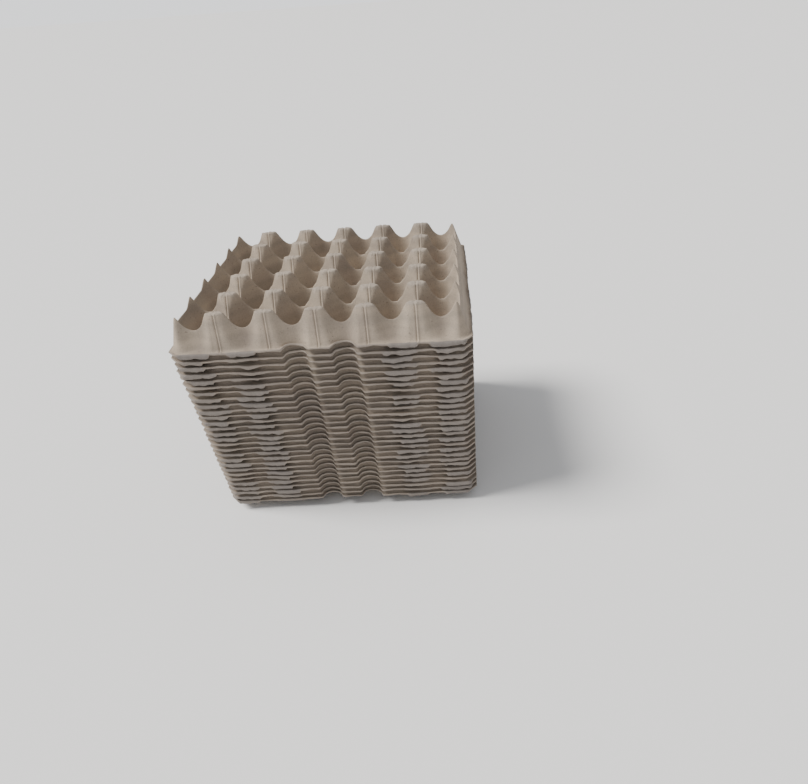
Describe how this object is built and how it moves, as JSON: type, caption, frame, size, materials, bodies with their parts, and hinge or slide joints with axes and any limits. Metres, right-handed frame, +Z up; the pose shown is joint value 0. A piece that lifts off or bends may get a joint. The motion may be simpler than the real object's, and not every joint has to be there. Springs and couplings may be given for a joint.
{
  "type": "stack of pulp egg trays",
  "caption": "Tall stack of nested grey moulded-pulp egg trays, with the open cells of the top one upward.",
  "frame": {"origin": "centre of the stack, on the plane that the lowest tray's cells stand on", "axes": "+Z up through the nested trays, +X along the six-cell side, -Y towards the side whose rims have two notches in the middle"},
  "size_m": [0.295, 0.265, 0.2379],
  "materials": {
    "pulp": "matte"
  },
  "bodies": {
    "root": {"tray_01": "pulp", "tray_02": "pulp", "tray_03": "pulp", "tray_04": "pulp", "tray_05": "pulp", "tray_06": "pulp", "tray_07": "pulp", "tray_08": "pulp", "tray_09": "pulp", "tray_10": "pulp", "tray_11": "pulp", "tray_12": "pulp", "tray_13": "pulp", "tray_14": "pulp", "tray_15": "pulp", "tray_16": "pulp", "tray_17": "pulp", "tray_18": "pulp", "tray_19": "pulp", "tray_20": "pulp", "tray_21": "pulp", "tray_22": "pulp", "tray_23": "pulp", "tray_24": "pulp", "tray_25": "pulp", "tray_26": "pulp", "tray_27": "pulp", "tray_28": "pulp"}
  },
  "joints": []
}
